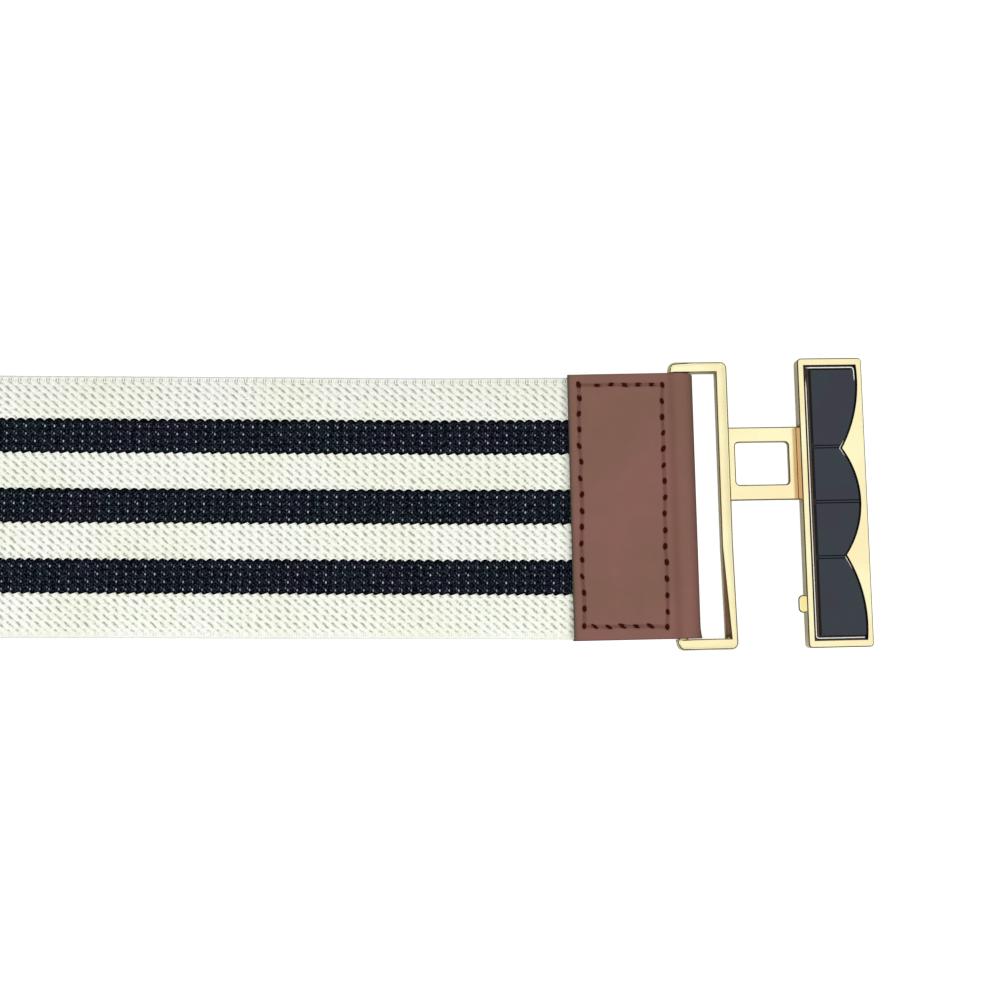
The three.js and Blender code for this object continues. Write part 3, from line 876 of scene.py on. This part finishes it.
def make_casting(side):
    node = frame["nodes"][f"buckle_frame_{side}"]
    made = bpy.data.objects.new(f"clasp_casting_{side}", node.data.copy())
    made.data.materials.clear()
    bpy.context.scene.collection.objects.link(made)
    to_row = clasp_matrix(f"buckle_{side}")
    to_clasp = to_row.inverted()
    body = bmesh.new()
    body.from_mesh(made.data)
    body.transform(to_clasp)
    bmesh.ops.remove_doubles(body, verts=body.verts, dist=WELD)
    bmesh.ops.dissolve_limit(body, angle_limit=math.radians(1.0), verts=body.verts, edges=body.edges)
    corner = LOOP_INNER_RIGHT - 0.8 * MM
    for at, facing in (((0, RAIL_BEND_START, 0), (0, 1, 0)), ((corner, 0, 0), (1, 0, 0))):
        everything = body.verts[:] + body.edges[:] + body.faces[:]
        bmesh.ops.bisect_plane(body, geom=everything, plane_co=at, plane_no=facing)
    square = [e for e in body.edges if e.is_convex and e.calc_face_angle(0.0) > SQUARE_EDGE]
    filed = bmesh.ops.bevel(
        body, geom=[e for e in square if has_flat(e)], offset=EDGE_FLAT, offset_type="OFFSET",
        segments=1, profile=0.5, affect="EDGES", clamp_overlap=False,
    )
    body.normal_update()
    for vertex in filed["verts"]:
        if vertex.normal.x > -0.3 and 0 < vertex.normal.z < 0.6:
            vertex.co.z += EDGE_FLAT_RAISE
    for vertex in body.verts:
        at_post = PLATE_LEFT < vertex.co.x < PLATE_LEFT + 0.5 * MM
        off_side = min(abs(vertex.co.y - BRIDGE_LOW), abs(vertex.co.y - BRIDGE_HIGH))
        if at_post and off_side < 0.02 * MM and abs(vertex.co.z - BRIDGE_TOP) < 0.02 * MM:
            vertex.co.z -= EDGE_FLAT - EDGE_FLAT_RAISE
    body.normal_update()
    softness = body.edges.layers.float.new("bevel_weight_edge")
    for edge in body.edges:
        angle = edge.calc_face_angle(0.0)
        if angle > CREASED_EDGE:
            middle = (edge.verts[0].co + edge.verts[1].co) / 2
            radius = round_radius(middle) if edge.is_convex and angle > SQUARE_EDGE else 0.0
            edge[softness] = radius / BAR_END_RADIUS
            edge.smooth = radius > 0
    body.to_mesh(made.data)
    body.free()
    made.data.polygons.foreach_set("use_smooth", [True] * len(made.data.polygons))
    bevel = made.modifiers.new("soft_edges", "BEVEL")
    bevel.width = BAR_END_RADIUS
    bevel.segments = 4
    bevel.limit_method = "WEIGHT"
    bevel.use_clamp_overlap = False
    bevel.harden_normals = True
    mesh = settled(made)
    for vertex in mesh.vertices:
        shape_by_hand(vertex.co)
    place = mesh.attributes.new("place_on_half", "FLOAT_VECTOR", "POINT")
    place.data.foreach_set("vector", np.array([v.co for v in mesh.vertices], dtype=np.float32).reshape(-1))
    mesh.transform(to_row)
    return made


def gold_material():
    """Pale gold, with a painted orange-brown reflection and shade where the plate stands on the bridge, and
    painted black shade inside the recess.
    """
    material, tree, shader, where = new_material("pale_gold_plating")
    split = tree.nodes.new("ShaderNodeSeparateXYZ")
    tree.links.new(painted(tree, "place_on_half", "Vector"), split.inputs[0])
    along, across, up = split.outputs

    def within(value, low, high):
        return times(tree, calc(tree, "GREATER_THAN", value, low), calc(tree, "LESS_THAN", value, high))

    inside_outline = times(
        tree, within(along, PLATE_LEFT + 1 * MM, PLATE_RIGHT - 0.6 * MM),
        calc(tree, "LESS_THAN", calc(tree, "ABSOLUTE", across), PLATE_HALF - 1.2 * MM),
    )
    # painted shade: the recess's walls and floor are painted near black, the shadow in the gap round the
    # enamel
    recess = times(tree, inside_outline, within(up, PLATE_TOP - 1.5 * MM, PLATE_TOP - 0.02 * MM))
    # painted reflection and shade: orange-brown on the plate's wall over the bridge
    by_bridge = times(
        tree, within(along, PLATE_LEFT - 0.05 * MM, PLATE_LEFT + 0.05 * MM),
        within(across, BRIDGE_LOW, BRIDGE_HIGH), within(up, BRIDGE_TOP, PLATE_TOP),
    )
    cloud = noise(tree, where, 110, 3)
    wear = noise(tree, where, 900, 4)
    shade = mixed(tree, eased(tree, cloud, 0.35, 0.65), colour(249, 235, 188), colour(250, 244, 200))
    shade = coat(tree, shade, (by_bridge, (196, 146, 92)), (recess, (14, 10, 6)))
    tree.links.new(shade, shader.inputs["Base Color"])
    shader.inputs["Metallic"].default_value = 1.0
    tree.links.new(plus(tree, 0.10, times(tree, wear, 0.10)), shader.inputs["Roughness"])
    add_bump(tree, shader, wear, 0.006 * MM)
    return material


gold = gold_material()
for side in ("right", "left"):
    casting = make_casting(side)
    casting.data.materials.append(gold)
    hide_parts(f"buckle_frame_{side}")
    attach(casting, f"buckle_{side}")

# The enamel inlays
# A slab of dark glossy enamel fills the scalloped recess of each plate, crossed by three partitions.
# A thin lip of the casting stands along its three straight sides and shows at the two cusps, in a metal
# whiter than the gold as a painted highlight.
ENAMEL_GAP = 0.02 * MM
RECESS_FLOOR = 2.0 * MM
RECESS_LEFT = PLATE_LEFT + 1.25 * MM
RECESS_HALF = 29.7 * MM
MIDDLE_CREST = PLATE_LEFT + 12.7 * MM
END_CREST = PLATE_LEFT + 13.0 * MM
END_CENTRE_Y = 26.3 * MM
CUSP_X = PLATE_LEFT + 9.05 * MM
CUSP_Y = 11.5 * MM
ENAMEL_TOP = 3.15 * MM
ENAMEL_DROP = 0.76 * MM
LIP_FROM_WALL = 0.36 * MM
LIP_WIDTH = 0.42 * MM
LIP_SEAT = LIP_FROM_WALL + LIP_WIDTH
LIP_TOP = 3.0 * MM
LIP_TURN = 0.6 * MM
LIP_LAST_TURN = 0.3 * MM
FINE_LIP_WIDTH = 0.22 * MM
FINE_LIP_TOP = 3.24 * MM
LEFT_SLOPE = 0.95 * MM
END_SLOPE = 0.30 * MM
RIGHT_SEAT = 0.32 * MM
RIGHT_SLOPE = 0.12 * MM
RIGHT_ROUND = 0.15 * MM
PARTITIONS = (-11.9 * MM, 0.0, 11.9 * MM)
PARTITION_HALF_GAP = 0.28 * MM
PARTITION_LINE = 0.12 * MM
PARTITION_DEPTH = 0.14 * MM


def scallop_x(y, inset):
    """The recess's scalloped right side at y, or one moved in by inset."""
    rise = MIDDLE_CREST - CUSP_X
    middle = (CUSP_Y ** 2 + rise ** 2) / (2 * rise)
    rise = END_CREST - CUSP_X
    end = ((END_CENTRE_Y - CUSP_Y) ** 2 + rise ** 2) / (2 * rise)
    y = np.abs(y)
    at_middle = MIDDLE_CREST - middle + np.sqrt(np.clip((middle - inset) ** 2 - y ** 2, 0, None))
    at_end = END_CREST - end + np.sqrt(np.clip((end - inset) ** 2 - (y - END_CENTRE_Y) ** 2, 0, None))
    return np.maximum(at_middle, at_end)


def enamel_rows():
    close = np.array([0, 0.3, 0.5, 0.97, 1.0]) * LIP_SEAT
    slope = LIP_SEAT + END_SLOPE * np.array([0.25, 0.5, 0.75, 0.95, 1.0, 1.1])
    near_end = RECESS_HALF - ENAMEL_GAP - np.concatenate([close, slope])
    rows = list(near_end) + list(-near_end)
    groove = PARTITION_HALF_GAP + PARTITION_LINE * np.array([-1, 0, 1])
    for centre in PARTITIONS:
        rows += [centre, *(centre + groove), *(centre - groove)]
    rows += list(np.linspace(-28.2 * MM, 28.2 * MM, 95))
    return np.unique(np.round(np.array(rows), 6))


def make_enamel(side):
    y = enamel_rows()
    up_slope = LIP_SEAT + LEFT_SLOPE * np.array([0, 0.1, 0.25, 0.4, 0.55, 0.7, 0.85, 0.95, 1.0, 1.05, 1.2])
    from_left = np.concatenate([[0, 0.3 * MM, LIP_SEAT - 0.03 * MM], up_slope])
    from_right = np.array([0.62, 0.50, 0.44, 0.40, 0.36, 0.33, 0.31, 0.15, 0]) * MM
    left = RECESS_LEFT + ENAMEL_GAP
    right = scallop_x(y, ENAMEL_GAP)
    spread = np.linspace(0, 1, 16)[1:-1]
    inner_left, inner_right = left + from_left[-1], right - from_right[0]
    columns = [np.full(len(y), left + d) for d in from_left]
    columns += [inner_left + (inner_right - inner_left) * s for s in spread]
    columns += [right - d for d in from_right]
    x = np.stack(columns, axis=1)
    yy = np.repeat(y[:, None], x.shape[1], axis=1)
    d_left = x - left - LIP_SEAT
    d_end = RECESS_HALF - ENAMEL_GAP - np.abs(yy) - LIP_SEAT
    d_right = right[:, None] - x - RIGHT_SEAT
    rise_left = np.clip(d_left / LEFT_SLOPE, 0, 1)
    rise_end = np.clip(d_end / END_SLOPE, 0, 1)
    rise_right = np.clip(d_right / RIGHT_SLOPE, 0, 1)
    low_left = ENAMEL_DROP * (1 - rise_left)
    low_end = np.where(d_end < 0, ENAMEL_DROP, END_SLOPE * (1 - rise_end))
    low_right = np.where(d_right < 0, ENAMEL_DROP, RIGHT_ROUND * (1 - np.sqrt(1 - (1 - rise_right) ** 2)))
    z = ENAMEL_TOP - np.maximum(np.maximum(low_left, low_end), low_right)
    partition = np.zeros(x.shape)
    for centre in PARTITIONS:
        off = np.abs(np.abs(yy - centre) - PARTITION_HALF_GAP) / PARTITION_LINE
        partition = np.maximum(partition, np.clip(1 - off, 0, 1))
    partition = partition * (np.minimum(rise_left, np.minimum(rise_end, rise_right)) > 0.7)
    z = z - PARTITION_DEPTH * partition
    top = np.stack([x, yy, z], axis=2)
    bottom = top.copy()
    bottom[:, :, 2] = RECESS_FLOOR + 0.03 * MM
    made = thick_sheet(f"enamel_{side}", top, bottom)
    # from_rim runs from the rim up each sloping side; the material paints the slopes and the rim's edge
    # black there, painted dark reflection and shade.
    up_end = np.clip(d_end / END_SLOPE, -1, 2) * 0.5 + 0.5
    in_slope = np.minimum(np.clip(d_left / LEFT_SLOPE, -1, 2), up_end)
    in_slope = np.where(d_right < 0.02 * MM, -1, in_slope)
    paint(made.data, from_rim=in_slope, partition=partition)
    made.data.transform(clasp_matrix(f"buckle_{side}"))
    made.data.set_sharp_from_angle(angle=math.radians(45))
    return made


def quarter_turn(x, y, radius, start):
    """Points round a quarter of a circle, anticlockwise from an angle in degrees."""
    angles = [math.radians(start + step) for step in range(0, 91, 15)]
    return [(x + radius * math.cos(a), y + radius * math.sin(a)) for a in angles]


def high_lip_path():
    """The lip's middle line from the end scallop round its corner and along the recess's high end."""
    inset = LIP_FROM_WALL + LIP_WIDTH / 2
    end = RECESS_HALF - inset
    crest = float(scallop_x(end - LIP_TURN, inset))
    path = [(float(scallop_x(y, inset)), y) for y in np.linspace(24.8 * MM, end - 1.1 * LIP_TURN, 10)]
    path += quarter_turn(crest - LIP_TURN, end - LIP_TURN, LIP_TURN, 0)
    path += [(x, end) for x in np.linspace(crest - 1.5 * LIP_TURN, RECESS_LEFT + LIP_FROM_WALL, 10)]
    return np.array(path)


def low_lip_path():
    """The lip's middle line down the recess's left side and along its low end."""
    inset = LIP_FROM_WALL + LIP_WIDTH / 2
    end, left = RECESS_HALF - inset, RECESS_LEFT + inset
    crest = float(scallop_x(end - LIP_LAST_TURN, inset))
    path = [(left, y) for y in np.linspace(end - 1.5 * MM, 1.2 * LIP_TURN - end, 20)]
    path += quarter_turn(left + LIP_TURN, LIP_TURN - end, LIP_TURN, 180)
    path += [(x, -end) for x in np.linspace(left + 1.5 * LIP_TURN, crest - 0.45 * MM, 10)]
    path += quarter_turn(crest - LIP_LAST_TURN, LIP_LAST_TURN - end, LIP_LAST_TURN, 270)
    return np.array(path)


def fine_lip_path(start, end):
    """The thin stretch of lip that shows along a scallop, from one distance across to another."""
    y = np.linspace(start, end, 14)
    return np.stack([scallop_x(y, 0.34 * MM + FINE_LIP_WIDTH / 2), y], axis=1)


def make_lip(name, path, width, top, taper):
    """A half-round thread of metal along a path, growing thin over a given length at each end."""
    along = np.gradient(path, axis=0)
    along /= np.linalg.norm(along, axis=1)[:, None]
    side = np.stack([-along[:, 1], along[:, 0]], axis=1)
    length = np.concatenate([[0], np.cumsum(np.linalg.norm(np.diff(path, axis=0), axis=1))])
    to_end = np.minimum(length / taper[0], (length[-1] - length) / taper[1])
    share = np.sqrt(np.clip(to_end, 0.03, 1))
    half = width / 2
    section = [(math.cos(a), math.sin(a)) for a in np.linspace(0, math.pi, 7)]
    rings = []
    for place, out, s in zip(path, side, share):
        crown = top - half
        ring = [(*(place + out * half * s * c), crown + half * s * h) for c, h in section]
        ring += [(*(place - out * half * s), RECESS_FLOOR), (*(place + out * half * s), RECESS_FLOOR)]
        rings.append(ring)
    return loft(name, rings)


def enamel_material():
    material, tree, shader, where = new_material("slate_enamel")
    rim, partition = painted(tree, "from_rim"), painted(tree, "partition")
    cloud = noise(tree, where, 130, 2)
    fine = noise(tree, where, 1400, 2)
    # brown: the foot of the left slope is painted olive-brown, a painted reflection of the gold rim
    brown = times(tree, eased(tree, rim, 0.50, 0.36), eased(tree, rim, 0.04, 0.12))
    shade = mixed(tree, eased(tree, cloud, 0.38, 0.62), colour(10, 30, 41), colour(20, 21, 42))
    # black on the slopes and at the rim: painted dark reflection and the gap's shade
    shade = coat(
        tree, shade, (eased(tree, rim, 0.99, 0.90), (0, 0, 0)), (brown, (72, 57, 46)),
        (times(tree, partition, 0.9), (0, 0, 4)),
    )
    tree.links.new(shade, shader.inputs["Base Color"])
    tree.links.new(plus(tree, 0.14, times(tree, partition, 0.3)), shader.inputs["Roughness"])
    add_bump(tree, shader, fine, 0.002 * MM)
    return material


def bright_lip_material():
    material, tree, shader, where = new_material("bright_lip")
    wear = noise(tree, where, 700, 3)
    # whiter than the casting's gold: a painted highlight on a real lip that also catches the light
    shade = mixed(tree, wear, colour(246, 238, 226), colour(255, 252, 244))
    tree.links.new(shade, shader.inputs["Base Color"])
    shader.inputs["Metallic"].default_value = 1.0
    tree.links.new(plus(tree, 0.22, times(tree, wear, 0.12)), shader.inputs["Roughness"])
    return material


enamel_finish = enamel_material()
bright_lip = bright_lip_material()
for side in ("right", "left"):
    body = f"buckle_{side}"
    enamel = make_enamel(side)
    enamel.data.materials.append(enamel_finish)
    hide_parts(f"enamel_inlay_{side}")
    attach(enamel, body)
    fine = (FINE_LIP_WIDTH, FINE_LIP_TOP)
    runs = [
        (f"enamel_lip_high_end_{side}", high_lip_path(), LIP_WIDTH, FINE_LIP_TOP, (4.0 * MM, 0.3 * MM)),
        (f"enamel_lip_{side}", low_lip_path(), LIP_WIDTH, LIP_TOP, (1.2 * MM, 0.3 * MM)),
        (f"enamel_lip_high_cusp_{side}", fine_lip_path(13.4 * MM, 9.7 * MM), *fine, (2.0 * MM, 1.4 * MM)),
        (f"enamel_lip_low_cusp_{side}", fine_lip_path(-11.7 * MM, -14.6 * MM), *fine, (0.3 * MM, 2.4 * MM)),
    ]
    for name, path, width, top, taper in runs:
        lip = make_lip(name, path, width, top, taper)
        lip.data.transform(clasp_matrix(body))
        lip.data.materials.append(bright_lip)
        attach(lip, body)

# Floor, light and camera
# A plain white surface under a soft studio ceiling, seen from almost straight above.
CAMERA_AT = (336.5 * MM, -26.8 * MM, 305.0 * MM)
CAMERA_TURN = (5.36, -1.00, 0.18)
CAMERA_LENS = 50.83


def make_floor():
    size = 3.0
    corners = [(-size, -size, 0), (size, -size, 0), (size, size, 0), (-size, size, 0)]
    floor = mesh_object("floor", corners, [(0, 1, 2, 3)], smooth=False)
    material, tree, shader, where = new_material("white_floor")
    shade = mixed(tree, noise(tree, where, 4, 2), (0.42, 0.42, 0.41, 1), (0.44, 0.44, 0.43, 1))
    tree.links.new(shade, shader.inputs["Base Color"])
    shader.inputs["Roughness"].default_value = 0.9
    shader.inputs["Specular IOR Level"].default_value = 0.1
    seen = tree.nodes.new("ShaderNodeLightPath").outputs["Is Camera Ray"]
    tree.links.new(mixed(tree, seen, (0, 0, 0, 1), (1, 1, 1, 1)), shader.inputs["Emission Color"])
    shader.inputs["Emission Strength"].default_value = 0.80
    floor.data.materials.append(material)


def make_sky():
    """Bright overhead and dark towards the horizon, so that edges of polished metal show dark."""
    world = bpy.data.worlds.new("studio")
    world.use_nodes = True
    tree = world.node_tree
    up = tree.nodes.new("ShaderNodeSeparateXYZ")
    tree.links.new(tree.nodes.new("ShaderNodeTexCoord").outputs["Generated"], up.inputs[0])
    ramp = tree.nodes.new("ShaderNodeValToRGB")
    tree.links.new(up.outputs["Z"], ramp.inputs["Fac"])
    stops = (
        (0.0, 0.20), (0.06, 0.04), (0.42, 0.05), (0.52, 0.35), (0.60, 1.40), (0.68, 1.40),
        (0.77, 0.72), (0.84, 0.80), (0.92, 1.04), (1.0, 1.06),
    )
    for place, _ in stops[1:-1]:
        ramp.color_ramp.elements.new(place)
    for stop, (_, light) in zip(ramp.color_ramp.elements, stops):
        stop.color = (light, light * 0.995, light * 0.97, 1)
    tree.links.new(ramp.outputs["Color"], tree.nodes["Background"].inputs["Color"])
    tree.nodes["Background"].inputs["Strength"].default_value = 1.0
    bpy.context.scene.world = world


def make_light(name, at, aim, size, power):
    data = bpy.data.lights.new(name, "AREA")
    data.shape = "RECTANGLE"
    data.size, data.size_y = size
    data.energy = power
    lamp = bpy.data.objects.new(name, data)
    lamp.location = at
    lamp.rotation_euler = (Vector(aim) - Vector(at)).to_track_quat("-Z", "Y").to_euler()
    lamp.visible_glossy = False
    bpy.context.scene.collection.objects.link(lamp)


make_floor()
make_sky()
make_light("soft_left", (-0.5, -0.5, 1.0), (0.1, 0, 0), (0.7, 0.7), 5.6)
make_light("soft_right", (1.0, -0.5, 1.0), (0.3, 0, 0), (0.7, 0.7), 5.6)

camera_data = bpy.data.cameras.new("camera")
camera_data.lens = CAMERA_LENS
camera_data.sensor_width = 36.0
camera_data.clip_start = 0.01
camera = bpy.data.objects.new("camera", camera_data)
camera.location = CAMERA_AT
camera.rotation_euler = [math.radians(a) for a in CAMERA_TURN]
bpy.context.scene.collection.objects.link(camera)
bpy.context.scene.camera = camera
bpy.context.scene.view_settings.view_transform = "Standard"
